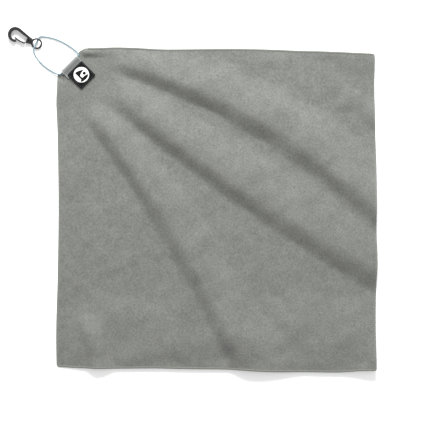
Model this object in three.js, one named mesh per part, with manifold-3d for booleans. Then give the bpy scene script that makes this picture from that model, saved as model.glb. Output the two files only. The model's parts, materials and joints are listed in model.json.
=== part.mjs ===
// Golf towel lying open on a flat surface, with a ribbon tab, an elastic cord loop and a swivelling snap hook.
// Millimetres, +Z up. The origin is the middle of the towel, on the surface that it lies on.
import * as THREE from "three";
import { mergeVertices } from "three/addons/utils/BufferGeometryUtils.js";
import Module from "manifold-3d";

// Towel cloth and its overlocked edge
const towelWidth = 398.2;
const towelDepth = 397.4;
const towelSkew = 0.02; // the cloth lies slightly out of square: it drops this much for each step to the right
const clothThickness = 1.0;
const overlockWidth = 2.1;
const overlockThickness = 1.2;
const overlockWall = 0.3;
const threadGap = 0.12;
const gridSteps = 27;

// Corner of the towel: the middle of the tab's tunnel stands this far in from the corner
const tabFromSide = 16;
const tabFromTop = 21.9;
const cornerLift = 1.1;
const liftFlat = 48;
const liftEnd = 100;

// Ribbon tab: one strip folded round the cord, with a leg above and a leg below the cloth
const tabWidth = 27.4;
const ribbonThickness = 0.8;
const tabLegLength = 11;
const tabSeamInset = 3.6;
const stitchThickness = 0.2;
const stitchWidth = 0.6;
const fitGap = 0.3;

// Woven label, sewn over the inner end of the tab
const labelSize = 25;
const labelThickness = 0.8;
const labelShift = 0.5;
const labelDistance = 18.4;
const labelSeamInset = 1.4;
const labelOverLeg = 0.55; // room for the tab's seam between the leg and the label
const labelOverCloth = 0.35;

// Elastic cord and the crimp that joins its two ends inside the tunnel
const cordDiameter = 1.8;
const cordSides = 8;
const ferruleLength = 7;
const ferruleWall = 0.45;
const tunnelPlay = 0.35;

// Snap hook. Its long axis runs from the eye to the bow, and it lies on its side
const eyeRadius = 6;
const eyeWire = 1.8;
const eyeRoll = THREE.MathUtils.degToRad(-16);
const clipAxisHeight = 2.6;
const yokeStart = 5.2;
const yokeEnd = 10.4;
const yokeNarrow = 3.4;
const yokeWide = 4.5;
const yokeFlatness = 0.52;
const stemDiameter = 1.5;
const stemHeadDiameter = 2.4;
const stemHeadLength = 1.2;
const stemHeadStart = 6.6;
const swivelGap = 0.35;
const hookThickness = 4.8;
const hookBevel = 0.7;
const hookBaseHalf = 4.5;
const hookBaseLength = 2.7;
const bowCentre = 29;
const bowOuterRadius = 9.5;
const bowInnerRadius = 5.85;
const bowInnerShift = [-0.35, 0.35];
const saddleHalf = 1.1;
const noseAngle = THREE.MathUtils.degToRad(118);
const spineThickness = 3.5;
const gateThickness = 1.3;
const gateDepth = 3.6;
const gateGap = 0.4;
const gateRootOut = 0.6; // root's middle line beyond the base bar's half width
const gateTipIn = [1, 2.15]; // tip's middle line: back from the bow's centre, and in from the bow's inner face
const gateBulge = 1.3;

// Where the clip lies: in the corner's own frame, X along the tunnel and Y out of the towel
const eyeAlong = -10.6;
const eyeOut = 48.2;
const clipTurn = THREE.MathUtils.degToRad(111.7);

// Creases that fan out from the corner. A crest starts at a place measured from the tab, ends at shares of
// the towel's half width and half depth, and is bowed sideways on the way. Below the crest the cloth rises
// steeply and above it falls slowly, so each side has its own width, near the tab and far from it.
const creases = [
  { from: [22, -36], to: [0.25, -0.98], bow: 4, height: [7, 5.6], steep: [20, 22], broad: [24, 64] },
  { from: [40, -16], to: [1.02, -0.36], bow: -15, height: [7, 6.5], steep: [18, 30], broad: [30, 80] },
  { from: [40, 1], to: [1.02, -0.02], bow: 33, height: [6, 9], steep: [18, 34], broad: [42, 60] },
];
const creaseGrowth = 0.13;

// Route of the cord in the corner's frame: out of the tunnel, round and through the eye, and back
const cordPoints = [
  [3.8, 0, 2.5],
  [7.6, 0, 2.5],
  [11, 0, 2.5],
  [14.6, 0, 2.5],
  [16.6, 1.6, 2.4],
  [17.5, 4.6, 2],
  [17.3, 8.6, 1.3],
  [16.7, 13.6, 1],
  [15, 22.1, 1],
  [12.5, 30.1, 1],
  [9.1, 37.6, 1],
  [5, 44.2, 1],
  [1.3, 49.1, 1],
  [-2.2, 52.4, 1.1],
  [-4.7, 51.4, 1.5],
  [-7.7, 50.2, 1.9],
  [-10.9, 49, 2.4],
  [-14.1, 47.7, 2.8],
  [-17.1, 46.5, 3.3],
  [-19.6, 45.5, 3.6],
  [-22.5, 40.4, 2.9],
  [-24.2, 31.3, 1.6],
  [-24.1, 22.6, 1],
  [-22.9, 15, 1],
  [-21.5, 9.6, 1.1],
  [-20.3, 5.6, 1.6],
  [-18.9, 2, 2.2],
  [-16.8, 0.1, 2.45],
  [-13.4, 0, 2.5],
  [-10, 0, 2.5],
  [-6.9, 0, 2.5],
  [-3.8, 0, 2.5],
];

const wasm = await Module();
wasm.setup();

// A closed geometry as a solid, and back.
function solidOf(geometry) {
  const bare = geometry.clone();
  bare.deleteAttribute("normal");
  bare.deleteAttribute("uv");
  const merged = mergeVertices(bare, 1e-4);
  return new wasm.Manifold(
    new wasm.Mesh({
      numProp: 3,
      vertProperties: merged.attributes.position.array,
      triVerts: new Uint32Array(merged.index.array),
    }),
  );
}

function geometryOf(solid) {
  const made = solid.getMesh();
  const geometry = new THREE.BufferGeometry();
  geometry.setAttribute("position", new THREE.BufferAttribute(made.vertProperties, 3));
  geometry.setIndex(new THREE.BufferAttribute(made.triVerts, 1));
  geometry.computeVertexNormals();
  return geometry;
}

function meshOf(name, geometry, colour, roughness, metalness = 0) {
  const material = new THREE.MeshStandardMaterial({ color: colour, roughness, metalness });
  const mesh = new THREE.Mesh(geometry, material);
  mesh.name = name;
  return mesh;
}

const smooth = (low, high, value) => THREE.MathUtils.smoothstep(value, low, high);

const halfWidth = towelWidth / 2;
const halfDepth = towelDepth / 2;
const tabX = tabFromSide - halfWidth;
const tabY = halfDepth + towelSkew * halfWidth - tabFromTop;
const lipStart = overlockWidth + fitGap;
const lipEnd = lipStart + fitGap;
const ferruleRadius = cordDiameter / 2 + ferruleWall;
const tunnelRadius = ferruleRadius + tunnelPlay;
const tunnelOuter = tunnelRadius + ribbonThickness;

// Height that one crease lifts the underside of the cloth at a place.
function creaseHeight(crease, x, y) {
  const x0 = tabX + crease.from[0];
  const y0 = tabY + crease.from[1];
  const dx = crease.to[0] * halfWidth - x0;
  const dy = crease.to[1] * halfDepth - y0;
  const length = Math.hypot(dx, dy);
  const along = ((x - x0) * dx + (y - y0) * dy) / length ** 2;
  const share = THREE.MathUtils.clamp(along, 0, 1);
  const across = ((y - y0) * dx - (x - x0) * dy) / length - crease.bow * 4 * share * (1 - share);
  const width = across < 0 ? crease.steep : crease.broad;
  const reach = across / THREE.MathUtils.lerp(width[0], width[1], share);
  const profile = Math.max(0, 1 - reach ** 2) ** 2;
  return THREE.MathUtils.lerp(crease.height[0], crease.height[1], share) * profile * smooth(0, creaseGrowth, along);
}

// Height of the cloth's underside over a place on the square cloth. It stays level across the overlock.
function undersideHeight(x, y) {
  const inX = THREE.MathUtils.clamp(x, lipStart - halfWidth, halfWidth - lipStart);
  const squareY = THREE.MathUtils.clamp(y, lipStart - halfDepth, halfDepth - lipStart);
  const inY = squareY - towelSkew * inX;
  const lift = cornerLift * (1 - smooth(liftFlat, liftEnd, Math.hypot(inX - tabX, inY - tabY)));
  return creases.reduce((sum, crease) => sum + creaseHeight(crease, inX, inY), lift);
}

// Lays a vertex of the square cloth, at its own height above the underside, where it belongs.
function settle(position, i, x, y, above) {
  position.setXYZ(i, x, y - towelSkew * x, above + undersideHeight(x, y));
}

// Grid lines across the towel: the cut edge, the squeezed lip inside the overlock, then even steps.
function gridLines(half) {
  const cutEdge = overlockWall + threadGap;
  const inner = half - lipEnd;
  const even = Array.from({ length: gridSteps + 1 }, (_, i) => -inner + (2 * inner * i) / gridSteps);
  return [cutEdge - half, lipStart - half, ...even, half - lipStart, half - cutEdge];
}

const xLines = gridLines(halfWidth);
const yLines = gridLines(halfDepth);

// The corner's frame, and a block in it that is cut away.
const cornerPlace = new THREE.Matrix4()
  .makeRotationZ(Math.PI / 4)
  .setPosition(tabX, tabY, 0);

function cornerBlock(left, right, near, far) {
  const block = new THREE.BoxGeometry(right - left, far - near, 40);
  block.translate((left + right) / 2, (near + far) / 2, 0);
  return solidOf(block.applyMatrix4(cornerPlace));
}

// Cloth: a fine box whose upper and lower faces follow the creases. The lip is squeezed by the thread.
function makeCloth() {
  const columns = xLines.length - 1;
  const rows = yLines.length - 1;
  const geometry = new THREE.BoxGeometry(columns, rows, 1, columns, rows, 1);
  const position = geometry.attributes.position;
  const lipLow = overlockWall + threadGap;
  const lipHigh = overlockThickness - lipLow;
  for (let i = 0; i < position.count; i++) {
    const x = xLines[Math.round(position.getX(i) + columns / 2)];
    const y = yLines[Math.round(position.getY(i) + rows / 2)];
    const fromEdge = Math.min(halfWidth - Math.abs(x), halfDepth - Math.abs(y));
    const squeezed = fromEdge < (lipStart + lipEnd) / 2;
    const low = squeezed ? lipLow : 0;
    const high = squeezed ? lipHigh : clothThickness;
    settle(position, i, x, y, position.getZ(i) > 0 ? high : low);
  }
  const tabEnd = tabWidth / 2;
  const whole = solidOf(geometry)
    .subtract(cornerBlock(-60, 60, tunnelOuter, 80))
    .subtract(cornerBlock(-tabEnd - 7, tabEnd + 5, -4.5, 10));
  return meshOf("towel_cloth", geometryOf(whole), 0x8c8e89, 0.95);
}

// Overlock: a channel of thread round the lip, along one side of the towel. sideFrame turns the side's
// own (inward, up, along) into the towel's axes.
function makeOverlock(name, stations, sideFrame) {
  const wall = overlockWall;
  const top = overlockThickness;
  const section = new THREE.Shape([
    new THREE.Vector2(0, 0),
    new THREE.Vector2(overlockWidth, 0),
    new THREE.Vector2(overlockWidth, wall),
    new THREE.Vector2(wall, wall),
    new THREE.Vector2(wall, top - wall),
    new THREE.Vector2(overlockWidth, top - wall),
    new THREE.Vector2(overlockWidth, top),
    new THREE.Vector2(0, top),
  ]);
  const steps = stations.length - 1;
  const geometry = new THREE.ExtrudeGeometry(section, { depth: steps, steps, bevelEnabled: false });
  const position = geometry.attributes.position;
  for (let i = 0; i < position.count; i++)
    position.setZ(i, stations[Math.round(position.getZ(i))]);
  geometry.applyMatrix4(sideFrame);
  for (let i = 0; i < position.count; i++)
    settle(position, i, position.getX(i), position.getY(i), position.getZ(i));
  return meshOf(name, geometry, 0x80827e, 0.9);
}

function makeOverlocks() {
  const chamfer = tabFromSide + tabFromTop - tunnelOuter * Math.SQRT2;
  const clearOfCord = chamfer + cordDiameter + fitGap;
  const xEnd = clearOfCord - halfWidth;
  const yEnd = halfDepth - clearOfCord;
  const insideY = yLines.filter((y) => Math.abs(y) < halfDepth - lipStart - 0.01);
  const leftStops = [lipStart - halfDepth, ...insideY.filter((y) => y < yEnd), yEnd];
  const rightStops = [lipStart - halfDepth, ...insideY, halfDepth - lipStart];
  const bottomStops = [-halfWidth, ...xLines, halfWidth];
  const topStops = [xEnd, ...xLines.filter((x) => x > xEnd), halfWidth];
  const frame = (inward, along, x, y) => {
    const up = new THREE.Vector3(0, 0, 1);
    return new THREE.Matrix4().makeBasis(inward, up, along).setPosition(x, y, 0);
  };
  const east = new THREE.Vector3(1, 0, 0);
  const north = new THREE.Vector3(0, 1, 0);
  const west = east.clone().negate();
  const south = north.clone().negate();
  const reversed = (stops) => stops.map((stop) => -stop).reverse();
  return [
    makeOverlock("overlock_left", reversed(leftStops), frame(east, south, -halfWidth, 0)),
    makeOverlock("overlock_right", rightStops, frame(west, north, halfWidth, 0)),
    makeOverlock("overlock_bottom", bottomStops, frame(north, east, 0, -halfDepth)),
    makeOverlock("overlock_top", reversed(topStops), frame(south, west, 0, halfDepth)),
  ];
}

// A section drawn in (out, up) and carried along the tunnel by its length, centred on the corner.
function alongTunnel(section, length, curveSegments = 12) {
  const geometry = new THREE.ExtrudeGeometry(section, { depth: length, bevelEnabled: false, curveSegments });
  const basis = new THREE.Matrix4().makeBasis(
    new THREE.Vector3(0, 1, 0),
    new THREE.Vector3(0, 0, 1),
    new THREE.Vector3(1, 0, 0),
  );
  return geometry.applyMatrix4(basis.setPosition(-length / 2, 0, 0));
}

const upperLegLow = cornerLift + clothThickness + fitGap;
const upperLegHigh = upperLegLow + ribbonThickness;

// Ribbon: round the tunnel, then a leg over the cloth and a leg under it.
function makeTab() {
  const inner = tunnelRadius;
  const outer = tunnelOuter;
  const slopeEnd = -5.4;
  const section = new THREE.Shape();
  section.moveTo(-tabLegLength, 0);
  section.lineTo(0, 0);
  section.absarc(0, outer, outer, -Math.PI / 2, Math.PI / 2, false);
  section.bezierCurveTo(-2.2, 2 * outer, -3, upperLegHigh, slopeEnd, upperLegHigh);
  section.lineTo(-tabLegLength, upperLegHigh);
  section.lineTo(-tabLegLength, upperLegLow);
  section.lineTo(slopeEnd, upperLegLow);
  section.bezierCurveTo(-3, upperLegLow, -2.2, outer + inner, 0, outer + inner);
  section.absarc(0, outer, inner, Math.PI / 2, -Math.PI / 2, true);
  section.lineTo(-tabLegLength, ribbonThickness);
  return meshOf("corner_tab", alongTunnel(section, tabWidth), 0x9a97a6, 0.8);
}

// Row of stitches that closes the tunnel, on the upper leg and under the label.
function makeTabSeam() {
  const row = new THREE.BoxGeometry(tabWidth - 2, stitchWidth, stitchThickness);
  row.translate(0, tabSeamInset - tabLegLength, upperLegHigh + threadGap + stitchThickness / 2);
  return meshOf("tab_seam", row, 0x8a8794, 0.8);
}

function square(side) {
  const half = side / 2;
  return [
    new THREE.Vector2(-half, -half),
    new THREE.Vector2(half, -half),
    new THREE.Vector2(half, half),
    new THREE.Vector2(-half, half),
  ];
}

// Label and its seam, in a group that tips with the leg under the label's outer side.
function makeLabel() {
  const bevel = 0.2;
  const outline = new THREE.Shape(square(labelSize - 2 * bevel));
  const settings = {
    depth: labelThickness - 2 * bevel,
    bevelEnabled: true,
    bevelThickness: bevel,
    bevelSize: bevel,
    bevelSegments: 2,
  };
  const plate = new THREE.ExtrudeGeometry(outline, settings).translate(0, 0, bevel);
  const seamSide = labelSize - 2 * labelSeamInset;
  const seamShape = new THREE.Shape(square(seamSide));
  seamShape.holes.push(new THREE.Path(square(seamSide - 2 * stitchWidth).reverse()));
  const seam = new THREE.ExtrudeGeometry(seamShape, { depth: 2 * stitchThickness, bevelEnabled: false });
  seam.translate(0, 0, labelThickness + threadGap);
  const outerLow = upperLegHigh + labelOverLeg;
  const innerLow = cornerLift + clothThickness + labelOverCloth;
  const group = new THREE.Group();
  group.position.set(labelShift, -labelDistance, (outerLow + innerLow) / 2);
  group.rotation.x = Math.asin((outerLow - innerLow) / labelSize);
  group.add(meshOf("woven_label", plate, 0x15161a, 0.75));
  group.add(meshOf("label_seam", seam, 0x1d1e22, 0.7));
  return group;
}

// A smooth curve pulled by its points, as an even cubic B-spline. It ends on its first and last points.
class SmoothRoute extends THREE.Curve {
  constructor(points) {
    super();
    const first = points[0].clone().multiplyScalar(2).sub(points[1]);
    const last = points.at(-1).clone().multiplyScalar(2).sub(points.at(-2));
    this.points = [first, ...points, last];
    this.arcLengthDivisions = 800;
  }

  getPoint(t, target = new THREE.Vector3()) {
    const spans = this.points.length - 3;
    const span = Math.min(Math.floor(t * spans), spans - 1);
    const f = t * spans - span;
    const weights = [(1 - f) ** 3, 3 * f ** 3 - 6 * f ** 2 + 4, 1 + 3 * f + 3 * f ** 2 - 3 * f ** 3, f ** 3];
    target.set(0, 0, 0);
    weights.forEach((weight, i) => target.addScaledVector(this.points[span + i], weight / 6));
    return target;
  }
}

function circle(radius, sides) {
  const turn = (2 * Math.PI) / sides;
  const points = Array.from({ length: sides }, (_, i) => {
    return new THREE.Vector2(radius * Math.cos(turn * i), radius * Math.sin(turn * i));
  });
  return new THREE.Shape(points);
}

function makeCord() {
  const route = new SmoothRoute(cordPoints.map((point) => new THREE.Vector3(...point)));
  const settings = { steps: 60, extrudePath: route, bevelEnabled: false };
  const tube = new THREE.ExtrudeGeometry(circle(cordDiameter / 2, cordSides), settings);
  return meshOf("cord_loop", tube, 0x8fc0cf, 0.6);
}

// Crimped barrel with rounded ends, round both ends of the cord.
function makeFerrule() {
  const radius = ferruleRadius;
  const half = ferruleLength / 2;
  const profile = [
    new THREE.Vector2(0, -half),
    new THREE.Vector2(radius - 0.3, -half),
    new THREE.Vector2(radius, fitGap - half),
    new THREE.Vector2(radius, -0.9),
    new THREE.Vector2(radius - 0.25, -0.5),
    new THREE.Vector2(radius - 0.25, 0.5),
    new THREE.Vector2(radius, 0.9),
    new THREE.Vector2(radius, half - fitGap),
    new THREE.Vector2(radius - 0.3, half),
    new THREE.Vector2(0, half),
  ];
  const barrel = new THREE.LatheGeometry(profile, 20).rotateZ(-Math.PI / 2);
  return meshOf("cord_ferrule", barrel.translate(0, 0, tunnelOuter), 0xb9bcc0, 0.4, 1);
}

// A round body along the clip's axis from its (distance, radius) pairs.
function turned(pairs, sides = 24) {
  const profile = pairs.map(([distance, radius]) => new THREE.Vector2(radius, distance));
  return new THREE.LatheGeometry(profile, sides).rotateZ(-Math.PI / 2);
}

// Eye: a ring and a flared yoke, bored for the stem and opened behind the stem's head.
function makeEye() {
  const ring = new THREE.TorusGeometry(eyeRadius, eyeWire / 2, 10, 36);
  const flare = turned([
    [yokeStart, 0],
    [yokeStart, yokeNarrow],
    [(yokeStart + yokeEnd) / 2, yokeNarrow + 0.2],
    [yokeEnd - 1, yokeWide],
    [yokeEnd, yokeWide],
    [yokeEnd, 0],
  ]);
  flare.scale(1, 1, yokeFlatness);
  const shoulder = stemHeadStart + stemHeadLength + fitGap;
  const neck = stemDiameter / 2 + fitGap;
  const pocket = stemHeadDiameter / 2 + fitGap;
  const bore = turned([
    [yokeStart - 1, 0],
    [yokeStart - 1, pocket],
    [shoulder, pocket],
    [shoulder, neck],
    [yokeEnd + 1, neck],
    [yokeEnd + 1, 0],
  ]);
  const eye = solidOf(ring).add(solidOf(flare)).subtract(solidOf(bore));
  return meshOf("swivel_eye", geometryOf(eye), 0x17181b, 0.45);
}

const hookBase = yokeEnd + swivelGap;
const hookBaseInner = hookBase + hookBaseLength;

// Hook: base bar, slanted spine, bow and nose in one flat moulding, with the stem turned on its base.
function makeHook() {
  const base = hookBase;
  const baseInner = hookBaseInner;
  const bevel = hookBevel;
  const toBow = Math.hypot(bowCentre - base, hookBaseHalf);
  const tangent = Math.sqrt(toBow ** 2 - bowOuterRadius ** 2);
  const slant = Math.atan2(hookBaseHalf, bowCentre - base) - Math.asin(bowOuterRadius / toBow);
  const [shiftX, shiftY] = bowInnerShift;
  const innerX = bowCentre + shiftX;
  const noseRound = noseAngle - 0.12;
  const spineAngle = slant - Math.PI / 2;
  const flat = Math.asin(saddleHalf / bowInnerRadius);
  const spineInner = (x) => {
    return -hookBaseHalf + (x - base) * Math.tan(slant) + spineThickness / Math.cos(slant);
  };
  const outline = new THREE.Shape();
  outline.moveTo(base + bevel, bevel - hookBaseHalf);
  outline.lineTo(
    base + tangent * Math.cos(slant) - bevel * Math.sin(slant),
    -hookBaseHalf + tangent * Math.sin(slant) + bevel * Math.cos(slant),
  );
  outline.absarc(bowCentre, 0, bowOuterRadius - bevel, spineAngle, noseAngle - 0.09, false);
  const inset = bowInnerRadius + bevel;
  outline.absarc(innerX, shiftY, inset, noseRound, flat, true);
  outline.lineTo(innerX + inset * Math.cos(flat), shiftY - inset * Math.sin(flat));
  outline.absarc(innerX, shiftY, inset, -flat, spineAngle + 0.25, true);
  const cornerX = baseInner + 1.2;
  outline.lineTo(cornerX - bevel, spineInner(cornerX) - bevel);
  outline.quadraticCurveTo(baseInner - bevel, spineInner(baseInner) - bevel, baseInner - bevel, 0);
  outline.lineTo(baseInner - bevel, hookBaseHalf + 0.4 - bevel);
  outline.lineTo(base + bevel, hookBaseHalf - bevel);
  const settings = {
    depth: hookThickness - 2 * bevel,
    bevelEnabled: true,
    bevelThickness: bevel,
    bevelSize: bevel,
    bevelSegments: 2,
    curveSegments: 10,
  };
  const plate = new THREE.ExtrudeGeometry(outline, settings).translate(0, 0, bevel - hookThickness / 2);
  const stem = turned([
    [stemHeadStart, 0],
    [stemHeadStart, stemHeadDiameter / 2],
    [stemHeadStart + stemHeadLength, stemHeadDiameter / 2],
    [stemHeadStart + stemHeadLength, stemDiameter / 2],
    [base + 1, stemDiameter / 2],
    [base + 1, 0],
  ]);
  return meshOf("hook_body", geometryOf(solidOf(plate).add(solidOf(stem))), 0x17181b, 0.45);
}

// Gate: a springy tongue from the base bar to the inside of the nose.
function makeGate() {
  const root = new THREE.Vector2(hookBaseInner + gateGap, hookBaseHalf + gateRootOut);
  const tip = new THREE.Vector2(bowCentre - gateTipIn[0], bowInnerRadius - gateTipIn[1]);
  const bulge = new THREE.Vector2().lerpVectors(root, tip, 0.45);
  bulge.y = root.y + gateBulge;
  const line = new THREE.QuadraticBezierCurve(root, bulge, tip);
  const steps = 10;
  const side = (sign) => {
    return Array.from({ length: steps + 1 }, (_, i) => {
      const place = line.getPoint(i / steps);
      const along = line.getTangent(i / steps);
      const half = (sign * gateThickness) / 2;
      return new THREE.Vector2(place.x - along.y * half, place.y + along.x * half);
    });
  };
  const outline = new THREE.Shape([...side(-1), ...side(1).reverse()]);
  const tongue = new THREE.ExtrudeGeometry(outline, { depth: gateDepth, bevelEnabled: false });
  return meshOf("gate_tongue", tongue.translate(0, 0, -gateDepth / 2), 0x1c1d20, 0.45);
}

const clip = new THREE.Group();
clip.position.set(eyeAlong, eyeOut, clipAxisHeight);
clip.rotation.z = clipTurn;
const eye = makeEye();
eye.rotation.x = eyeRoll;
clip.add(eye, makeHook(), makeGate());

const corner = new THREE.Group();
cornerPlace.decompose(corner.position, corner.quaternion, corner.scale);
corner.add(makeTab(), makeTabSeam(), makeLabel(), makeCord(), makeFerrule(), clip);

const group = new THREE.Group();
group.add(makeCloth(), ...makeOverlocks(), corner);
export default group;
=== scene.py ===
import json
import math

import bmesh
import bpy
import numpy as np
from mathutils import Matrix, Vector


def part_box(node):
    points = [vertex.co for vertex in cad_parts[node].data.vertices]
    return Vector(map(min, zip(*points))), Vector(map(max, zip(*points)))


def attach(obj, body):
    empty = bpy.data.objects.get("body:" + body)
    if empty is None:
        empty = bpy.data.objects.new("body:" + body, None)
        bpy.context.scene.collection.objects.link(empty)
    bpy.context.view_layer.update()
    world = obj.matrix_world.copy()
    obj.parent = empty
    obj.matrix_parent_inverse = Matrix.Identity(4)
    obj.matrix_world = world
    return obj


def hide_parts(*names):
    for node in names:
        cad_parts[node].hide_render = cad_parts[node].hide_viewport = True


# A square golf towel lying open, with a ribbon tab, an elastic cord loop and a plastic snap hook.
# Sizes are in millimetres and become metres where a mesh is made.
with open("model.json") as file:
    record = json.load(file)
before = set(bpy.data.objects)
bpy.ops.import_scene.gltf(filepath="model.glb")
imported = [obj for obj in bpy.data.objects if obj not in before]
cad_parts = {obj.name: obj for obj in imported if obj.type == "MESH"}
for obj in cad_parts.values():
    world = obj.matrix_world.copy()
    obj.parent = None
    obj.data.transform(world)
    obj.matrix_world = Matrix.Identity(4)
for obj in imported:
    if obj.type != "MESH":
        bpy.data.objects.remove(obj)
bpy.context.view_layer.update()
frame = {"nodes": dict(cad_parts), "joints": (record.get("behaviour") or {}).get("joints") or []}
mm = 0.001
joints = {joint["name"]: joint for joint in frame["joints"]}
nodes = frame["nodes"]


def boxOf(node):
    # lowest and highest corner of a part of the frame, in millimetres
    low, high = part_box(node)
    return np.array(low) / mm, np.array(high) / mm


def smoothStep(low, high, value):
    # 0 below low, 1 above high, and an S curve between
    share = np.clip((value - low) / (high - low), 0, 1)
    return share * share * (3 - 2 * share)


def hexColour(text):
    # sRGB hex to linear red, green, blue, alpha
    parts = [int(text[i:i + 2], 16) / 255 for i in (1, 3, 5)]
    return (*[c / 12.92 if c <= 0.04045 else ((c + 0.055) / 1.055) ** 2.4 for c in parts], 1.0)


def perMm(size):
    # texture scale, per metre, of a pattern whose features are this many millimetres apart
    return 1 / (size * mm)


def addNode(tree, kind, settings=None, links=None):
    # one node with its own settings, its socket values and what is linked into it
    node = tree.nodes.new("ShaderNode" + kind)
    for key, value in (settings or {}).items():
        if isinstance(key, str) and hasattr(node, key):
            setattr(node, key, value)
        else:
            node.inputs[key].default_value = value
    for key, source in (links or {}).items():
        tree.links.new(source, node.inputs[key])
    return node


def newMaterial(name, sockets):
    material = bpy.data.materials.new(name)
    material.use_nodes = True
    shader = material.node_tree.nodes["Principled BSDF"]
    for socket, value in sockets.items():
        shader.inputs[socket].default_value = value
    return material, material.node_tree, shader


def finishMaterial(tree, shader, colour, height, strength, depth):
    # colour and a bump of this depth in millimetres go into the shader
    bump = addNode(tree, "Bump", {"Strength": strength, "Distance": depth * mm}, {"Height": height})
    tree.links.new(colour, shader.inputs["Base Color"])
    tree.links.new(bump.outputs["Normal"], shader.inputs["Normal"])


suede = {
    "deep": "#272924", "high": "#8B8C88",  # nap lying towards and away from the eye
    "grain": 2.0,  # tufts of nap, drawn several times coarser than the fibres so that they show
    "mottle": 11.0,  # patches where the nap was stroked one way
    "patch": 60.0,
    "bumpDepth": 0.25,
}


def makeSuede():
    # Knitted microfibre, sanded to a suede: dull and soft, and mottled where the nap lies different ways.
    material, tree, shader = newMaterial("brushed microfibre suede", {
        "Roughness": 0.95, "Specular IOR Level": 0.2, "Sheen Weight": 0.12, "Sheen Roughness": 0.5})
    place = addNode(tree, "TexCoord").outputs["Object"]
    grain = addNode(tree, "TexNoise", {"Scale": perMm(suede["grain"]), "Detail": 2.0, "Roughness": 0.65},
                    {"Vector": place})
    mottle = addNode(tree, "TexNoise", {"Scale": perMm(suede["mottle"]), "Detail": 3.0, "Roughness": 0.6},
                     {"Vector": place})
    patch = addNode(tree, "TexNoise", {"Scale": perMm(suede["patch"]), "Detail": 2.0}, {"Vector": place})
    fine = addNode(tree, "Math", {"operation": "MULTIPLY_ADD", 1: 0.62, 2: 0.0}, {0: grain.outputs["Fac"]})
    both = addNode(tree, "Math", {"operation": "MULTIPLY_ADD", 1: 0.22},
                   {0: mottle.outputs["Fac"], 2: fine.outputs[0]})
    nap = addNode(tree, "Math", {"operation": "MULTIPLY_ADD", 1: 0.14},
                  {0: patch.outputs["Fac"], 2: both.outputs[0]})
    deep, high = hexColour(suede["deep"]), hexColour(suede["high"])
    colour = addNode(tree, "Mix", {"data_type": "RGBA", 6: deep, 7: high}, {0: nap.outputs[0]})
    finishMaterial(tree, shader, colour.outputs[2], fine.outputs[0], 0.5, suede["bumpDepth"])
    return material


def makeThread(name, deep, high, fibre, roughness, gloss=0.35):
    # Spun polyester sewing thread with a soft gloss. Its colour holds painted light: a painted highlight on
    # the ridges and painted shade between the turns, mottled by fibre fuzz.
    material, tree, shader = newMaterial(name, {
        "Roughness": roughness, "Specular IOR Level": gloss, "Sheen Weight": 0.5 * gloss})
    place = addNode(tree, "TexCoord").outputs["Object"]
    fuzz = addNode(tree, "TexNoise", {"Scale": perMm(fibre), "Detail": 3.0}, {"Vector": place})
    reliefShade = addNode(tree, "Attribute", {"attribute_name": "reliefShade"})
    shade = addNode(tree, "Math", {"operation": "MULTIPLY", "use_clamp": True},
                    {0: reliefShade.outputs["Fac"], 1: fuzz.outputs["Fac"]})
    lift = addNode(tree, "MapRange", {"From Min": 0.05, "From Max": 0.6}, {"Value": shade.outputs[0]})
    colour = addNode(tree, "Mix", {"data_type": "RGBA", 6: hexColour(deep), 7: hexColour(high)},
                     {0: lift.outputs["Result"]})
    finishMaterial(tree, shader, colour.outputs[2], fuzz.outputs["Fac"], 0.4, 0.08)
    return material


def makePlastic(name, base, worn):
    # Moulded acetal, black all through: a fine satin skin that is a little smoother where it has rubbed.
    material, tree, shader = newMaterial(name, {
        "Roughness": 0.38, "IOR": 1.48, "Specular IOR Level": 0.5})
    place = addNode(tree, "TexCoord").outputs["Object"]
    skin = addNode(tree, "TexNoise", {"Scale": perMm(0.35), "Detail": 2.0}, {"Vector": place})
    rub = addNode(tree, "TexNoise", {"Scale": perMm(5.0), "Detail": 3.0}, {"Vector": place})
    colour = addNode(tree, "Mix", {"data_type": "RGBA", 6: hexColour(base), 7: hexColour(worn)},
                     {0: rub.outputs["Fac"]})
    gloss = addNode(tree, "MapRange", {"From Min": 0.3, "From Max": 0.7, "To Min": 0.3, "To Max": 0.5},
                    {"Value": rub.outputs["Fac"]})
    tree.links.new(gloss.outputs["Result"], shader.inputs["Roughness"])
    finishMaterial(tree, shader, colour.outputs[2], skin.outputs["Fac"], 0.25, 0.03)
    return material


def makeCrimp():
    # Crimped aluminium tube: dull, drawn lengthwise and scuffed by the tool.
    material, tree, shader = newMaterial("crimped aluminium", {"Metallic": 1.0, "Roughness": 0.45})
    place = addNode(tree, "TexCoord").outputs["Object"]
    scuff = addNode(tree, "TexNoise", {"Scale": perMm(0.8), "Detail": 4.0}, {"Vector": place})
    colour = addNode(tree, "Mix", {"data_type": "RGBA", 6: hexColour("#A9ACB0"), 7: hexColour("#D5D7DA")},
                     {0: scuff.outputs["Fac"]})
    finishMaterial(tree, shader, colour.outputs[2], scuff.outputs["Fac"], 0.3, 0.03)
    return material


def gridFaces(rows, columns, wrap=False):
    # four-sided faces of a grid of points, joined round when wrap is true
    index = np.arange(rows * columns).reshape(rows, columns)
    beside = np.roll(index, -1, axis=1) if wrap else index[:, 1:]
    here = index if wrap else index[:, :-1]
    quads = np.stack([here[:-1], here[1:], beside[1:], beside[:-1]], axis=-1)
    return quads.reshape(-1, 4)


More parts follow.
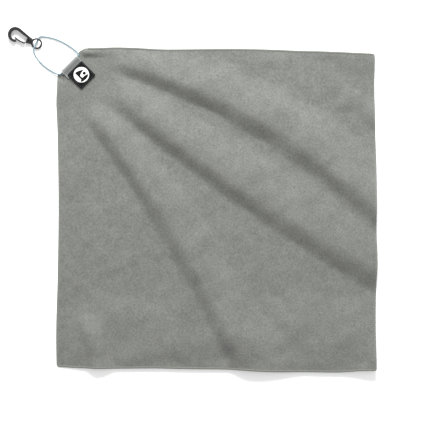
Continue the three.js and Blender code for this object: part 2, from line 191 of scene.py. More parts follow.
def makePiece(name, points, faces, material, reliefShade=None, closed=True):
    # points in millimetres and faces become an object at the origin. Doubled points are merged, which
    # closes the poles, and a closed piece has its faces turned outwards.
    mesh = bpy.data.meshes.new(name)
    mesh.from_pydata((np.asarray(points) * mm).tolist(), [], np.asarray(faces).tolist())
    if reliefShade is not None:
        # painted light: these values are the ridges and hollows that the thread materials turn into painted
        # highlight and painted shade
        attribute = mesh.attributes.new("reliefShade", "FLOAT", "POINT")
        attribute.data.foreach_set("value", np.asarray(reliefShade, np.float32))
    work = bmesh.new()
    work.from_mesh(mesh)
    bmesh.ops.remove_doubles(work, verts=work.verts, dist=1e-7)
    if closed:
        bmesh.ops.recalc_face_normals(work, faces=work.faces)
    work.to_mesh(mesh)
    work.free()
    mesh.polygons.foreach_set("use_smooth", np.full(len(mesh.polygons), True))
    mesh.materials.append(material)
    piece = bpy.data.objects.new(name, mesh)
    bpy.context.scene.collection.objects.link(piece)
    return piece


def addThickness(piece, thickness, offset):
    solid = piece.modifiers.new("thickness", "SOLIDIFY")
    solid.thickness = thickness * mm
    solid.offset = offset
    solid.use_even_offset = False
    return piece


def evenly(line, step):
    # the same line with its points an even step apart
    gaps = np.linalg.norm(np.diff(line, axis=0), axis=1)
    length = np.concatenate([[0], np.cumsum(gaps)])
    stops = np.linspace(0, length[-1], int(round(length[-1] / step)) + 1)
    return np.stack([np.interp(stops, length, line[:, i]) for i in range(line.shape[1])], axis=1), stops


def joined(shapes):
    # several (points, faces) pairs as one
    points, faces, start = [], [], 0
    for shapePoints, shapeFaces in shapes:
        points.append(shapePoints.reshape(-1, 3))
        faces.append(shapeFaces + start)
        start += len(points[-1])
    return np.concatenate(points), np.concatenate(faces)


leftEdge = boxOf("overlock_left")[0][0]
rightEdge = boxOf("overlock_right")[1][0]
bottomEdge = boxOf("overlock_bottom")[0][1]

camera = {
    "centre": (-6.5, -2.3),
    "width": 528.7,  # what the view takes in, side to side
    "height": 2400.0,
    "sensor": 36.0,
}


def makeCamera():
    # straight above, with a long lens, so that nothing leans
    data = bpy.data.cameras.new("camera")
    data.sensor_width = camera["sensor"]
    data.lens = camera["sensor"] * camera["height"] / camera["width"]
    data.clip_end = 20
    placed = bpy.data.objects.new("camera", data)
    placed.location = (camera["centre"][0] * mm, camera["centre"][1] * mm, camera["height"] * mm)
    bpy.context.scene.collection.objects.link(placed)
    bpy.context.scene.camera = placed


makeCamera()
print("camera ready")

# The corner has its own frame: X along the tunnel, Y out of the towel, origin in the middle of the tab.
tabCentre = np.array(joints["loop_fold"]["pos_m"]) / mm
tunnelWay = np.array(joints["loop_fold"]["axis"])[:2]
outWay = np.array([-tunnelWay[1], tunnelWay[0]])


def fromCorner(points):
    # from the corner's frame to the towel's
    points = np.asarray(points, float)
    flat = tabCentre[:2] + points[..., :1] * tunnelWay + points[..., 1:2] * outWay
    return np.concatenate([flat, points[..., 2:]], axis=-1)


def toCorner(x, y):
    east, north = x - tabCentre[0], y - tabCentre[1]
    return east * tunnelWay[0] + north * tunnelWay[1], east * outWay[0] + north * outWay[1]


cordRoute = [
    (3.8, 0, 2.5), (7.6, 0, 2.5), (11, 0, 2.5), (14.6, 0, 2.5), (16.6, 1.6, 2.4), (17.5, 4.6, 2),
    (17.3, 8.6, 1.3), (16.7, 13.6, 1), (15, 22.1, 1), (12.5, 30.1, 1), (9.1, 37.6, 1), (5, 44.2, 1),
    (1.3, 49.1, 1), (-2.2, 52.4, 1.1), (-4.7, 51.4, 1.5), (-7.7, 50.2, 1.9), (-10.9, 49, 2.4),
    (-14.1, 47.7, 2.8), (-17.1, 46.5, 3.3), (-19.6, 45.5, 3.6), (-22.5, 40.4, 2.9), (-24.2, 31.3, 1.6),
    (-24.1, 22.6, 1), (-22.9, 15, 1), (-21.5, 9.6, 1.1), (-20.3, 5.6, 1.6), (-18.9, 2, 2.2),
    (-16.8, 0.1, 2.45), (-13.4, 0, 2.5), (-10, 0, 2.5), (-6.9, 0, 2.5), (-3.8, 0, 2.5),
]
cord = {
    "diameter": 1.8,
    "around": 24,
    "step": 0.3,
    "strands": 4,  # ridges each way round
    "lay": 5.0,  # length in which a strand goes once round
    "ridge": 0.1,
    "deep": "#56707A", "high": "#8FA9B0",
}


def smoothRoute(route, perPoint=24):
    # even cubic B-spline pulled by its points, which starts and ends on the first and the last of them
    route = np.array(route, float)
    control = np.concatenate([[2 * route[0] - route[1]], route, [2 * route[-1] - route[-2]]])
    spans = len(control) - 3
    t = np.linspace(0, spans, spans * perPoint + 1)
    span = np.minimum(t.astype(int), spans - 1)
    f = (t - span)[:, None]
    weights = [(1 - f) ** 3, 3 * f ** 3 - 6 * f ** 2 + 4, 1 + 3 * f + 3 * f ** 2 - 3 * f ** 3, f ** 3]
    return sum(weight * control[span + i] for i, weight in enumerate(weights)) / 6


def sideAndUp(line):
    # two directions square to a line that never stands upright: one level, one on top
    along = np.gradient(line, axis=0)
    along /= np.linalg.norm(along, axis=1, keepdims=True)
    side = np.cross(along, [0, 0, 1])
    side /= np.linalg.norm(side, axis=1, keepdims=True)
    return side, np.cross(side, along)


def makeCord():
    # A round tube along the route. Its radius rises where strands of both directions cross over.
    line, stops = evenly(fromCorner(smoothRoute(cordRoute)), cord["step"])
    side, up = sideAndUp(line)
    turn = np.linspace(0, 2 * math.pi, cord["around"], endpoint=False)
    s = stops[:, None]
    twist = 2 * math.pi * s / cord["lay"]
    weave = np.abs(np.sin(cord["strands"] * (turn + twist)) * np.sin(cord["strands"] * (turn - twist)))
    radius = cord["diameter"] / 2 + cord["ridge"] * (weave - 0.6)
    radius = radius * np.clip(np.minimum(s, stops[-1] - s) / 0.01, 0, 1)  # closed at both ends
    ring = radius[..., None] * (np.cos(turn)[:, None] * side[:, None] + np.sin(turn)[:, None] * up[:, None])
    points = (line[:, None] + ring).reshape(-1, 3)
    faces = gridFaces(len(line), cord["around"], wrap=True)
    material = makeThread("braided elastic cord", cord["deep"], cord["high"], 0.5, 0.6)
    # painted light: the crossings also set the colour, so the cord is painted lighter on them and painted
    # darker in the hollows between strands
    piece = makePiece("elastic_cord", points, faces, material, weave.ravel())
    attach(piece, "loop")
    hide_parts("cord_loop")


makeCord()
print("cord ready")

halfWidth = (rightEdge - leftEdge) / 2
towel = {
    "skew": 0.02,  # the cloth drops this much for each step to the right
    "thickness": 1.0,
    "fineStep": 1.0, "coarseStep": 2.35,  # grid near the tab and far from it
    "fineTo": 60, "coarseFrom": 130,
    "hem": 0.4,  # the cloth ends this far inside the outline, under the overlock
    "cornerLift": 1.1, "liftFlat": 36.0, "liftEnd": 62.0,
    "growth": 0.13,
    "cornerRound": 3.0,
    "level": 2.4,  # the overlocked edge, which the creases cross without tipping it
    "side": 0.406,  # cut 16 inches square, in metres
    "area": 0.1642,  # with the corner taken off under the tab
    "calmFrom": 18, "calmTo": 70, "calmEdge": 14,  # ripples fade out near the tab and the edges
    "swingFrom": 26, "swingTo": 60,  # no swing nearer the tab than the first, all of it past the second
}
halfDepth = -bottomEdge - towel["skew"] * halfWidth

# A crest starts at a place measured from the tab, ends at shares of the towel's half width and half
# depth, and bows sideways. The cloth is steep on one side of it and falls slowly on the other.
creases = [
    {"from": (24, -46), "to": (0.2, -0.98), "bow": 8,
     "height": (6, 6), "steep": (20, 24), "broad": (30, 60)},
    {"from": (38, -20), "to": (1.02, -0.37), "bow": -10,
     "height": (6, 8), "steep": (20, 32), "broad": (30, 80)},
    {"from": (40, 10), "to": (1.02, 0.02), "bow": 26,
     "height": (5, 9), "steep": (18, 34), "broad": (40, 60)},
]
# Smaller folds: a dent by the lower left corner, puckers where the tab gathers the corner and short soft
# folds by the right side.
folds = [
    {"from": (20, -310), "to": (-0.75, -0.97), "bow": 0,
     "height": (0.5, 5), "steep": (12, 15), "broad": (24, 24)},
    {"from": (305, -115), "to": (1.03, 0), "bow": 0,
     "height": (0.5, 3), "steep": (16, 22), "broad": (20, 40)},
    {"from": (13, 15), "to": (-0.6, 0.99), "bow": 1,
     "height": (3, 0), "steep": (7, 10), "broad": (7, 10)},
    {"from": (-18, -14), "to": (-0.93, 0.8), "bow": 0,
     "height": (-1, 0), "steep": (4, 5), "broad": (4, 5)},
    {"from": (290, 12), "to": (1, 0.96), "bow": 0,
     "height": (0, 2.5), "steep": (20, 30), "broad": (10, 12)},
    {"from": (335, -40), "to": (1, 0.58), "bow": 2,
     "height": (0.5, 2.5), "steep": (16, 20), "broad": (24, 24)},
]


def between(pair, share):
    # a value that changes evenly from the first of a pair to the second
    return pair[0] + (pair[1] - pair[0]) * share


def creaseHeight(crease, x, y):
    # The ridge's height fades with the square of its distance from the crest, squared again, so that it
    # ends smoothly at the crease's width, and it grows from nothing over its first stretch.
    x0 = tabCentre[0] + crease["from"][0]
    y0 = tabCentre[1] + crease["from"][1]
    dx = crease["to"][0] * halfWidth - x0
    dy = crease["to"][1] * halfDepth - y0
    length = math.hypot(dx, dy)
    along = ((x - x0) * dx + (y - y0) * dy) / length ** 2
    share = np.clip(along, 0, 1)
    across = ((y - y0) * dx - (x - x0) * dy) / length - crease["bow"] * 4 * share * (1 - share)
    width = np.where(across < 0, between(crease["steep"], share), between(crease["broad"], share))
    profile = np.clip(1 - (across / width) ** 2, 0, 1) ** 2
    return between(crease["height"], share) * profile * smoothStep(0, towel["growth"], along)


ripple = {"count": 60, "longest": 90.0, "shortest": 22.0, "height": 0.09, "heightAt": 60, "seed": 11}


def rippleHeight(x, y):
    # many shallow waves of different length and direction, which leave the cloth softly uneven
    draw = np.random.default_rng(ripple["seed"])
    total = np.zeros_like(x)
    for _ in range(ripple["count"]):
        wave = ripple["shortest"] * (ripple["longest"] / ripple["shortest"]) ** draw.random()
        way = draw.random() * 2 * math.pi
        phase = draw.random() * 2 * math.pi
        step = (x * math.cos(way) + y * math.sin(way)) / wave
        total += ripple["height"] * (wave / ripple["heightAt"]) * np.sin(2 * math.pi * step + phase)
    return total


# The bottom of the cloth rolls down to its edge, more so at the right, and its right corner stands up.
roll = {
    "height": 3.4, "rightMore": 1,
    "start": -90, "full": -166,  # from the middle of the towel towards its bottom
    "ease": 0.32, "easeFrom": -162, "easeTo": -198,
    "rightFrom": 40, "rightTo": 170, "leftFrom": -200, "leftTo": -150,
    "cornerHeight": 5, "cornerNear": 6, "cornerFar": 60,
}


def rollHeights(x, y):
    # how far the roll and the right corner each lift the cloth at a place
    down = smoothStep(roll["start"], roll["full"], y)
    down = down * (1 - roll["ease"] * smoothStep(roll["easeFrom"], roll["easeTo"], y))
    right = smoothStep(roll["rightFrom"], roll["rightTo"], x)
    left = smoothStep(roll["leftFrom"], roll["leftTo"], x)
    corner = np.hypot(x - halfWidth, y + halfDepth)
    near = 1 - smoothStep(roll["cornerNear"], roll["cornerFar"], corner)
    return (roll["height"] + roll["rightMore"] * right) * down * left, roll["cornerHeight"] * near ** 2


def undersideHeight(u, v):
    # height of the underside over a place on the square cloth; it stays level across the overlock
    inU = np.clip(u, towel["level"] - halfWidth, halfWidth - towel["level"])
    inV = np.clip(v, towel["level"] - halfDepth, halfDepth - towel["level"])
    x, y = inU, inV - towel["skew"] * inU
    fromTab = np.hypot(x - tabCentre[0], y - tabCentre[1])
    height = towel["cornerLift"] * (1 - smoothStep(towel["liftFlat"], towel["liftEnd"], fromTab))
    for crease in creases + folds:
        height = height + creaseHeight(crease, x, y)
    bottomRoll, cornerRise = rollHeights(x, y)
    height = height + bottomRoll + cornerRise
    fromEdge = np.minimum(halfWidth - abs(x), halfDepth - abs(inV))
    clearOfTab = smoothStep(towel["calmFrom"], towel["calmTo"], fromTab)
    away = clearOfTab * smoothStep(0, towel["calmEdge"], fromEdge)
    return np.maximum(height + rippleHeight(x, y) * away, 0)


# Where each side of the towel swings out (or in, if negative) of straight: place along the side, half
# the length of the swing, and how far.
swings = {
    "left": [(0, 130, -1.6), (-165, 70, 1.4), (150, 60, 1.6)],
    "right": [(-140, 60, -0.9), (-60, 35, 1.1), (160, 110, -2.1)],
    "top": [(-120, 60, 1.7), (45, 130, 3.0), (150, 60, 1.2)],
    "bottom": [(-155, 90, 2.6), (-45, 90, 0.9), (75, 75, 2.3), (145, 45, 1.4), (190, 40, -1.6)],
}


def swingOf(side, s):
    # each swing is a smooth bump that ends at its own length
    bumps = [out * np.clip(1 - ((s - place) / reach) ** 2, 0, 1) ** 2 for place, reach, out in swings[side]]
    return sum(bumps)


def layOnCloth(u, v, above):
    # a place on the square cloth, at a height above its underside, where it lies
    wideShare, deepShare = u / halfWidth, v / halfDepth
    fromTab = np.hypot(u - tabCentre[0], v - tabCentre[1])
    clearOfTab = smoothStep(towel["swingFrom"], towel["swingTo"], fromTab)
    sideways = np.where(u > 0, swingOf("right", v), -swingOf("left", v)) * np.abs(wideShare) ** 6
    endways = np.where(v > 0, swingOf("top", u), -swingOf("bottom", u)) * np.abs(deepShare) ** 6
    x = u + sideways * clearOfTab
    y = v - towel["skew"] * u + endways * clearOfTab
    return np.stack([x, y, above + undersideHeight(u, v)], axis=-1)


def gridLine(low, high, nearLow):
    # grid lines between two edges, fine at the edge that the tab is on and coarse towards the other
    samples = 4000
    share = np.linspace(0, 1, samples + 1)
    coarse = smoothStep(towel["fineTo"], towel["coarseFrom"], share * (high - low))
    step = towel["fineStep"] + (towel["coarseStep"] - towel["fineStep"]) * coarse
    count = np.concatenate([[0], np.cumsum((high - low) / samples / step[1:])])
    steps = int(round(count[-1]))
    line = np.interp(np.arange(steps + 1) * count[-1] / steps, count, share * (high - low))
    return low + line if nearLow else (high - line)[::-1]


cut = {
    "besideTunnel": -4.2,
    "underFrom": 13, "underTo": 17.5,  # where the cloth comes out from under the ribbon
    "point": 2.4, "riseFrom": 12, "shoulder": 3.6, "shoulderAt": 19, "fall": 0.031,
    "end": 34, "open": 50,  # past its end the cut leaves the cloth alone
    "around": 60,  # farthest that the cut reaches from the tab
}


def cornerLimit(along):
    # How far out of the corner the cloth reaches at each place along the tunnel: a line beside the tunnel,
    # cut back under the ribbon, with a point at the left and a rounded shoulder at the right.
    under = smoothStep(cut["underFrom"], cut["underTo"], np.abs(along))
    rounded = cut["shoulder"] - cut["fall"] * (along - cut["shoulderAt"]) ** 2
    rise = smoothStep(cut["riseFrom"], cut["shoulderAt"], along)
    rising = cut["point"] + (cut["shoulder"] - cut["point"]) * rise
    shoulder = np.where(along > cut["shoulderAt"], rounded, rising)
    limit = cut["besideTunnel"] + (shoulder - cut["besideTunnel"]) * under
    return np.where(along > cut["end"], cut["open"], limit)


def makeTowel():
    # A grid laid on the creased shape. Faces past the corner's limit are left out, and the outermost
    # points are drawn back onto it.
    hem = towel["hem"]
    u, v = np.meshgrid(gridLine(hem - halfWidth, halfWidth - hem, True),
                       gridLine(hem - halfDepth, halfDepth - hem, False), indexing="ij")
    radius = towel["cornerRound"]
    overU = np.abs(u) - (halfWidth - radius)
    overV = np.abs(v) - (halfDepth - radius)
    reach = np.hypot(np.maximum(overU, 0), np.maximum(overV, 0))
    outside = (overU > 0) & (overV > 0) & (reach > radius - hem)
    pull = np.where(outside, (radius - hem) / np.maximum(reach, 1e-6), 1)
    u = np.where(pull < 1, np.sign(u) * (halfWidth - radius + overU * pull), u)
    v = np.where(pull < 1, np.sign(v) * (halfDepth - radius + overV * pull), v)
    x, y, z = np.moveaxis(layOnCloth(u, v, towel["thickness"]), -1, 0)
    along, out = toCorner(x, y)
    limit = cornerLimit(along)
    past = (out > limit) & (np.hypot(along, out) < cut["around"])
    drawn = fromCorner(np.stack([along, np.minimum(out, limit), z], axis=-1))
    points = np.where(past[..., None], drawn, np.stack([x, y, z], axis=-1)).reshape(-1, 3)
    faces = gridFaces(*u.shape)
    faces = faces[~past.ravel()[faces].all(axis=1)]
    used, faces = np.unique(faces, return_inverse=True)
    faces = faces.reshape(-1, 4)
    piece = makePiece("suede_cloth", points[used], faces, makeSuede(), closed=False)
    addThickness(piece, towel["thickness"], -1)
    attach(piece, "towel")
    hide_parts("towel_cloth")


makeTowel()
print("cloth ready")

overlock = {
    "halfWide": 1.3, "halfHigh": 0.64,
    "pitch": 2.4,  # one turn of thread
    "perTurn": 6, "around": 12,
    "ridge": 0.26,
    "inset": 1.1,
    "deep": "#575953", "high": "#777973",
}


def edgeLine():
    # round three corners of the towel, from the left side's upper end to the top's left end
    wide, deep = halfWidth - overlock["inset"], halfDepth - overlock["inset"]
    radius = towel["cornerRound"] - 0.6
    left = boxOf("overlock_left")[1][1] + towel["skew"] * -halfWidth - 1
    top = boxOf("overlock_top")[0][0] + 1
    turn = np.linspace(0, math.pi / 2, 9)

    def bend(x, y, start):
        return np.stack([x + radius * np.cos(start + turn), y + radius * np.sin(start + turn)], axis=1)

    return np.concatenate([
        [[-wide, left]],
        bend(radius - wide, radius - deep, math.pi),
        bend(wide - radius, radius - deep, 1.5 * math.pi),
        bend(wide - radius, deep - radius, 0),
        [[top, deep]],
    ])


def makeOverlock():
    # A flat tube round the edge whose radius rises and falls as a helix, one ridge for each turn of thread.
    line, stops = evenly(edgeLine(), overlock["pitch"] / overlock["perTurn"])
    along = np.gradient(line, axis=0)
    along /= np.linalg.norm(along, axis=1, keepdims=True)
    inward = np.stack([-along[:, 1], along[:, 0]], axis=1)
    turn = np.linspace(0, 2 * math.pi, overlock["around"], endpoint=False)
    phase = stops[:, None] / overlock["pitch"] + turn / (2 * math.pi)
    ridge = np.abs(np.sin(math.pi * phase)) ** 0.7
    ends = np.sqrt(np.clip(np.minimum(stops, stops[-1] - stops) / 1.5, 0, 1))[:, None]
    swell = (1 + overlock["ridge"] * (ridge - 0.7)) * ends
    offset = overlock["halfWide"] * np.cos(turn) * swell
    up = overlock["halfHigh"] * (1 + np.sin(turn) * swell)
    u = line[:, :1] + inward[:, :1] * offset
    v = line[:, 1:] + inward[:, 1:] * offset
    points = layOnCloth(u, v, up).reshape(-1, 3)
    material = makeThread("overlock thread", overlock["deep"], overlock["high"], 0.6, 0.8)
    faces = gridFaces(len(line), overlock["around"], wrap=True)
    # painted light: the ridges also set the colour, painted lighter on each turn of thread and painted
    # darker between turns
    piece = makePiece("edge_overlock", points, faces, material, ridge.ravel())
    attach(piece, "towel")
    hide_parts("overlock_left", "overlock_right", "overlock_bottom", "overlock_top")


makeOverlock()
print("overlock ready")

ribbon = {
    "width": 27.4, "thickness": 0.8, "leg": 11.0,
    "tunnel": 2.1,  # radius of the ribbon's middle line round the cord
    "legHigh": 2.8,
    "rib": 0.9, "ribDepth": 0.11,
    "selvedge": 1.3,
    "deep": "#4F5151", "high": "#989C9A",
}


def ribbonLine():
    # lower leg, half round the tunnel, a soft S down to the cloth, upper leg; as (out, up)
    radius, middle = ribbon["tunnel"], ribbon["thickness"] / 2 + ribbon["tunnel"]
    turn = np.linspace(-math.pi / 2, math.pi / 2, 24)
    ease = np.linspace(0, 1, 16)[1:]
    low = ribbon["thickness"] / 2
    slope = middle + radius - (middle + radius - ribbon["legHigh"]) * smoothStep(0, 1, ease)
    return np.concatenate([
        [[-ribbon["leg"], low]],
        np.stack([radius * np.cos(turn), middle + radius * np.sin(turn)], axis=1),
        np.stack([-6.2 * ease, slope], axis=1),
        [[-ribbon["leg"], ribbon["legHigh"]]],
    ])


def makeRibbonMaterial():
    # Grosgrain polyester: fine ribs across the ribbon with painted shade in their dark valleys, and smooth
    # selvedges that carry no painted valley shade and so come out paler.
    return makeThread("grosgrain ribbon", ribbon["deep"], ribbon["high"], 0.7, 0.75)


def makeRibbon():
    # The line is carried along the tunnel. Ribs stand out of it as a wave along the line, and fade
    # into the smooth selvedges.
    line, stops = evenly(ribbonLine(), 0.18)
    along = np.gradient(line, axis=0)
    along /= np.linalg.norm(along, axis=1, keepdims=True)
    out = np.stack([along[:, 1], -along[:, 0]], axis=1)
    across = np.linspace(-ribbon["width"] / 2, ribbon["width"] / 2, 57)[None]
    fromEdge = ribbon["width"] / 2 - np.abs(across)
    inner = smoothStep(ribbon["selvedge"] - 0.3, ribbon["selvedge"] + 0.2, fromEdge)
    rib = 0.5 + 0.5 * np.cos(2 * math.pi * stops[:, None] / ribbon["rib"])
    beads = 0.75 + 0.25 * np.cos(2 * math.pi * across / 1.4)
    reliefShade = (1 - inner) * 0.85 + inner * rib * beads
    swell = ribbon["ribDepth"] * (reliefShade - 0.5)
    y = line[:, :1] + out[:, :1] * swell
    z = line[:, 1:] + out[:, 1:] * swell
    points = fromCorner(np.stack([np.broadcast_to(across, y.shape), y, z], axis=-1))
    faces = gridFaces(*y.shape)
    # painted light: the ribs also set the colour, painted darker in the valleys between ribs and paler on
    # the smooth selvedges
    piece = makePiece("ribbon_tab", points.reshape(-1, 3), faces, makeRibbonMaterial(),
                      reliefShade.ravel(), closed=False)
    addThickness(piece, ribbon["thickness"] - 0.15, 0)
    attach(piece, "towel")
    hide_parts("corner_tab")


makeRibbon()

def stitches(starts, ends, radius):
    # Each stitch is a thread that dips into the cloth at both ends: a closed spindle with six sides,
    # whose radius and height follow a half circle along its length.
    rows, sides = 7, 6
    starts, ends = np.asarray(starts, float)[:, None, None], np.asarray(ends, float)[:, None, None]
    t = np.linspace(0, 1, rows)[None, :, None, None]
    turn = np.linspace(0, 2 * math.pi, sides, endpoint=False)[None, None, :, None]
    bulge = np.sqrt(np.clip(1 - (2 * t - 1) ** 2, 0, 1))
    way = ends - starts
    side = np.cross(way, [0, 0, 1])
    side = side / np.linalg.norm(side, axis=-1, keepdims=True)
    lift = np.sin(turn) * radius * bulge + 0.6 * radius * bulge
    ring = side * np.cos(turn) * radius * bulge + np.array([0, 0, 1.0]) * lift
    points = starts + way * t + ring
    # painted light: the top of each stitch is painted lighter, and its underside and its ends, where it dips
    # into the cloth, are painted darker
    reliefShade = np.broadcast_to(0.35 + 0.65 * bulge * (0.5 + 0.5 * np.sin(turn)), points.shape[:3] + (1,))
    faces = gridFaces(rows, sides, wrap=True)
    count = points.shape[0]
    allFaces = (faces[None] + rows * sides * np.arange(count)[:, None, None]).reshape(-1, 4)
    return points.reshape(-1, 3), allFaces, reliefShade.reshape(-1)


def stitchLine(start, end, length, gap):
    # starts and ends of even stitches between two points
    start, end = np.array(start, float), np.array(end, float)
    total = np.linalg.norm(end - start)
    count = max(1, int(total // (length + gap)))
    step = (end - start) / count
    first = start + step * np.arange(count)[:, None]
    return first, first + step * length / (length + gap)


tabSeam = {"inset": 3.6, "length": 2.0, "gap": 0.5, "radius": 0.2}


def makeTabSeam():
    y = tabSeam["inset"] - ribbon["leg"]
    z = ribbon["legHigh"] + ribbon["thickness"] / 2
    reach = ribbon["width"] / 2 - 1
    starts, ends = stitchLine((-reach, y, z), (reach, y, z), tabSeam["length"], tabSeam["gap"])
    points, faces, reliefShade = stitches(fromCorner(starts), fromCorner(ends), tabSeam["radius"])
    material = makeThread("tab sewing thread", "#6D6A76", "#A5A2AE", 0.4, 0.6)
    piece = makePiece("tab_stitches", points, faces, material, reliefShade)
    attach(piece, "towel")
    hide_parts("tab_seam")


makeTabSeam()
print("tab ready")

label = {
    "side": 25.0, "thickness": 1.0, "shift": 1.2, "distance": 18.9,
    "outerLow": 3.75, "innerLow": 2.75,  # where it rests on the ribbon's leg and on the cloth
    "weft": 0.7,  # ribs of the weave, drawn coarser than the threads so that they show
    "disc": 9.9,
    "seamInset": 1.4, "stitch": 1.9, "gap": 0.6, "thread": 0.24,
}
labelTilt = math.asin((label["outerLow"] - label["innerLow"]) / label["side"])


def fromLabel(points):
    # from the label's own frame, whose Z is its thickness, to the towel's
    points = np.asarray(points, float)
    x, y, z = points[..., 0], points[..., 1], points[..., 2]
    tiltedY = y * math.cos(labelTilt) - z * math.sin(labelTilt)
    tiltedZ = y * math.sin(labelTilt) + z * math.cos(labelTilt)
    middle = (label["outerLow"] + label["innerLow"]) / 2
    return fromCorner(np.stack([x + label["shift"], tiltedY - label["distance"], tiltedZ + middle], axis=-1))


def weaveHeight(x, y, pitch):
    # plain weave: a chequer of rounded over-and-under threads, from 0 to 1
    return 0.5 + 0.5 * np.sin(2 * math.pi * x / pitch) * np.sin(2 * math.pi * y / pitch)


def labelTop(x, y):
    # face of the label: a shallow pillow that turns down at its hem
    a, b = 2 * x / label["side"], 2 * y / label["side"]
    edge = np.maximum(np.abs(a), np.abs(b))
    return label["thickness"] + 0.18 * (1 - a ** 2) * (1 - b ** 2) - 0.35 * np.clip(edge, 0, 1) ** 24


def makeLabel():
    # A grid over the square with rounded corners and a woven relief, with its thickness below it.
    line = np.linspace(-1, 1, 141)
    a, b = np.meshgrid(line, line, indexing="ij")
    roundness = 1 - 0.015 * (a * b) ** 12  # draws the four corners in
    x, y = a * roundness * label["side"] / 2, b * roundness * label["side"] / 2
    weave = weaveHeight(x, y, label["weft"])
    points = fromLabel(np.stack([x, y, labelTop(x, y) + 0.06 * (weave - 0.5)], axis=-1))
    material = makeThread("damask woven label", "#050506", "#101112", 0.5, 0.9, 0.12)
    # painted light: the weave's chequer also sets the colour, painted lighter on the raised threads and
    # painted darker on the sunken ones
    piece = makePiece("woven_patch", points.reshape(-1, 3), gridFaces(*x.shape), material,
                      weave.ravel(), closed=False)
    addThickness(piece, label["thickness"] - 0.1, -1)
    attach(piece, "towel")
    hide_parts("woven_label")


def raisedPatch(x, y, rise, edge):
    # A patch of satin stitches over the label: level inside, and turned down to the label where edge is 0.
    z = labelTop(x, y) + rise * smoothStep(0, 1, edge) - 0.1 * (1 - smoothStep(0, 0.3, edge))
    return fromLabel(np.stack([x, y, z], axis=-1)), gridFaces(*x.shape)


def makeDisc():
    # White woven disc: rings and spokes, with threads that run side to side.
    reach, turn = np.meshgrid(np.linspace(0, 1, 40), np.linspace(0, 2 * math.pi, 97), indexing="ij")
    x, y = label["disc"] * reach * np.cos(turn), label["disc"] * reach * np.sin(turn)
    satin = 0.5 + 0.5 * np.cos(2 * math.pi * y / 0.8)
    points, faces = raisedPatch(x, y, 0.16 + 0.03 * satin, (1 - reach) * 8)
    material = makeThread("white damask weave", "#B9BAB6", "#F4F4F1", 0.6, 0.7)
    # painted light: the satin threads also set the colour, painted lighter on each thread and painted darker
    # between them
    piece = makePiece("label_disc", points.reshape(-1, 3), faces, material,
                      0.6 + 0.4 * satin.ravel(), closed=False)
    addThickness(piece, 0.12, -1)
    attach(piece, "towel")


def makeMotif():
    # A plain golf green: a pole with a pennant, a mound and a ball, in dark thread on the disc.
    a, b = np.meshgrid(np.linspace(0, 1, 31), np.linspace(-1, 1, 15), indexing="ij")
    edge = np.minimum(np.minimum(a, 1 - a) * 12, (1 - np.abs(b)) * 5)
    rise = 0.36
    pole = raisedPatch(-3 + 1.1 * b, -4.6 + 12 * a, rise, edge)
    flag = raisedPatch(-2.6 + 9.2 * a, 3.4 + 3.9 * b * (1 - a) + 0.35 * np.sin(5 * a), rise, edge)
    mound = raisedPatch(-6.8 + 13.6 * a, -5.6 + (0.4 + 8 * a * (1 - a)) * b, rise, edge)
    reach, turn = np.meshgrid(np.linspace(0, 1, 10), np.linspace(0, 2 * math.pi, 25), indexing="ij")
    ballX, ballY = 4 + 2.3 * reach * np.cos(turn), -1.1 + 2.3 * reach * np.sin(turn)
    ball = raisedPatch(ballX, ballY, rise, (1 - reach) * 4)
    points, faces = joined([pole, flag, mound, ball])
    material = makeThread("dark damask weave", "#050506", "#101112", 0.5, 0.9, 0.12)
    piece = makePiece("label_motif", points, faces, material,
                      np.full(len(points), 0.8), closed=False)
    addThickness(piece, 0.12, -1)
    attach(piece, "towel")


def makeLabelSeam():
    # a square of stitches inside the label's hem
    reach = label["side"] / 2 - label["seamInset"]
    corners = [(-reach, -reach), (reach, -reach), (reach, reach), (-reach, reach)]
    rows = [stitchLine(corners[i], corners[(i + 1) % 4], label["stitch"], label["gap"]) for i in range(4)]
    starts = np.concatenate([row[0] for row in rows])
    ends = np.concatenate([row[1] for row in rows])

    def onLabel(p):
        return fromLabel(np.stack([p[:, 0], p[:, 1], labelTop(p[:, 0], p[:, 1])], axis=-1))

    points, faces, reliefShade = stitches(onLabel(starts), onLabel(ends), label["thread"])
    material = makeThread("label sewing thread", "#101114", "#3A3C42", 0.4, 0.55)
    piece = makePiece("label_stitches", points, faces, material, reliefShade)
    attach(piece, "towel")
    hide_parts("label_seam")


makeLabel()
makeDisc()
makeMotif()
makeLabelSeam()
print("label ready")

clip = {
    "voxel": 0.17,
    "rounds": 5,  # of smoothing, which rounds the moulded edges
    "roll": math.radians(-16),  # the ring leans a little about the hook's long axis
    "ringReach": 6.0, "fan": 1.1,  # the yoke meets the ring along this arc, in radians each way
    "shoulder": 9.0, "neck": 2.8,
    "web": 1.1,  # half thickness of the yoke
    "ringHeavier": 0.25, "gateHeavier": 0.18,
}
eyeCentre = np.array(joints["hook_swivel"]["pos_m"]) / mm
clipWay = np.array(joints["hook_swivel"]["axis"])
acetal = makePlastic("black acetal", "#0B0C0E", "#18191C")


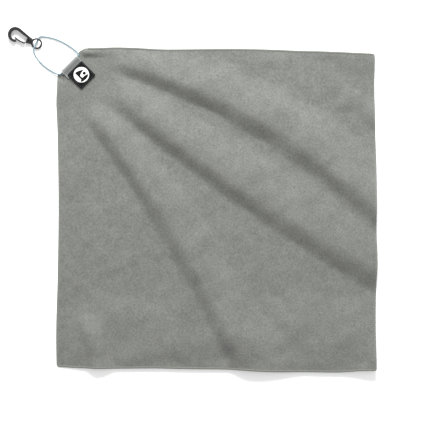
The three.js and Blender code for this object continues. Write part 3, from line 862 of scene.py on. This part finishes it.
def moulded(name, nodeName, body, extra=None):
    # The part's own solid, with any extra closed shapes, fused on a fine grid and smoothed, so that its
    # facets and sharp edges turn into the soft radii of a moulding.
    mesh = nodes[nodeName].data.copy()
    work = bmesh.new()
    work.from_mesh(mesh)
    bmesh.ops.remove_doubles(work, verts=work.verts, dist=1e-6)
    if extra is not None:
        points, faces = extra
        added = bpy.data.meshes.new(name + "_extra")
        added.from_pydata((points * mm).tolist(), [], faces.tolist())
        work.from_mesh(added)
        bpy.data.meshes.remove(added)
    work.to_mesh(mesh)
    work.free()
    piece = bpy.data.objects.new(name, mesh)
    bpy.context.scene.collection.objects.link(piece)
    remesh = piece.modifiers.new("fuse", "REMESH")
    remesh.mode = "VOXEL"
    remesh.voxel_size = clip["voxel"] * mm
    smooth = piece.modifiers.new("soften", "SMOOTH")
    smooth.factor = 0.5
    smooth.iterations = clip["rounds"]
    shape = piece.evaluated_get(bpy.context.evaluated_depsgraph_get())
    piece.data = bpy.data.meshes.new_from_object(shape)
    piece.modifiers.clear()
    piece.data.polygons.foreach_set("use_smooth", np.full(len(piece.data.polygons), True))
    piece.data.materials.clear()
    piece.data.materials.append(acetal)
    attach(piece, body)
    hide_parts(nodeName)
    return piece


def eyeYoke():
    # A flat web that fans out from the swivel to the ring: one end follows an arc of the ring, the other is
    # the swivel's straight shoulder, and its thickness follows a rounded slot.
    side = np.array([-clipWay[1], clipWay[0], 0])
    lean = side * math.cos(clip["roll"]) + np.array([0, 0, 1.0]) * math.sin(clip["roll"])
    share = np.linspace(0, 1, 15)[:, None]
    turn = np.linspace(0, 2 * math.pi, 32, endpoint=False)
    arc = clip["fan"] * np.cos(turn)
    along = (1 - share) * clip["ringReach"] * np.cos(arc) + share * clip["shoulder"]
    across = (1 - share) * clip["ringReach"] * np.sin(arc) + share * clip["neck"] * np.cos(turn)
    half = clip["web"] * np.sign(np.sin(turn)) * np.abs(np.sin(turn)) ** 0.6
    up = half * np.sqrt(np.clip(1 - (2 * share - 1) ** 8, 0, 1))
    flat = np.cross(clipWay, lean)
    points = eyeCentre + along[..., None] * clipWay + across[..., None] * lean + up[..., None] * flat
    return points.reshape(-1, 3), gridFaces(len(share), len(turn), wrap=True)


def swell(piece, amount, start=None):
    # moves the surface outwards; with a start, only on the ring's side of that distance along the hook
    count = len(piece.data.vertices)
    points, normals = np.empty(count * 3), np.empty(count * 3)
    piece.data.vertices.foreach_get("co", points)
    piece.data.vertices.foreach_get("normal", normals)
    points, normals = points.reshape(-1, 3) / mm, normals.reshape(-1, 3)
    share = 1
    if start is not None:
        share = 1 - smoothStep(start, start + 4, (points - eyeCentre) @ clipWay)[:, None]
    piece.data.vertices.foreach_set("co", ((points + normals * amount * share) * mm).ravel())
    piece.data.update()


ringPiece = moulded("swivel_ring", "swivel_eye", "eye", eyeYoke())
swell(ringPiece, clip["ringHeavier"], 3)
moulded("hook_moulding", "hook_body", "hook")
gatePiece = moulded("gate_spring", "gate_tongue", "gate")
swell(gatePiece, clip["gateHeavier"])
nodes["cord_ferrule"].data.materials.clear()
nodes["cord_ferrule"].data.materials.append(makeCrimp())
print("clip ready")

studio = {
    "floor": "#F6F6F6", "glow": 0.16,  # the table is a softly lit one
    "boxAt": (-0.09, 1.95, 1.0),  # a softbox beyond the top of the towel
    "boxSide": 0.95,
    "boxPower": 120.0,
    "sky": 0.76,
}


def makeStudio():
    reach = 3.0  # the floor and the light are placed in metres
    mesh = bpy.data.meshes.new("floor")
    low = -0.0001  # just under the cloth
    corners = [(-reach, -reach, low), (reach, -reach, low), (reach, reach, low), (-reach, reach, low)]
    mesh.from_pydata(corners, [], [(0, 1, 2, 3)])
    material, tree, shader = newMaterial("matt studio floor", {
        "Base Color": hexColour(studio["floor"]), "Roughness": 0.9, "Specular IOR Level": 0.1,
        "Emission Color": (1, 1, 1, 1), "Emission Strength": studio["glow"]})
    mesh.materials.append(material)
    floor = bpy.data.objects.new("floor", mesh)
    bpy.context.scene.collection.objects.link(floor)
    light = bpy.data.lights.new("softbox", "AREA")
    light.energy = studio["boxPower"]
    light.size = studio["boxSide"]
    key = bpy.data.objects.new("softbox", light)
    key.location = studio["boxAt"]
    key.rotation_euler = Vector(studio["boxAt"]).to_track_quat("Z", "Y").to_euler()
    bpy.context.scene.collection.objects.link(key)
    world = bpy.data.worlds.new("studio")
    world.use_nodes = True
    sky = world.node_tree.nodes["Background"]
    sky.inputs["Color"].default_value = (1, 1, 1, 1)
    sky.inputs["Strength"].default_value = studio["sky"]
    bpy.context.scene.world = world
    bpy.context.scene.view_settings.view_transform = "Standard"


makeStudio()
print("studio ready")
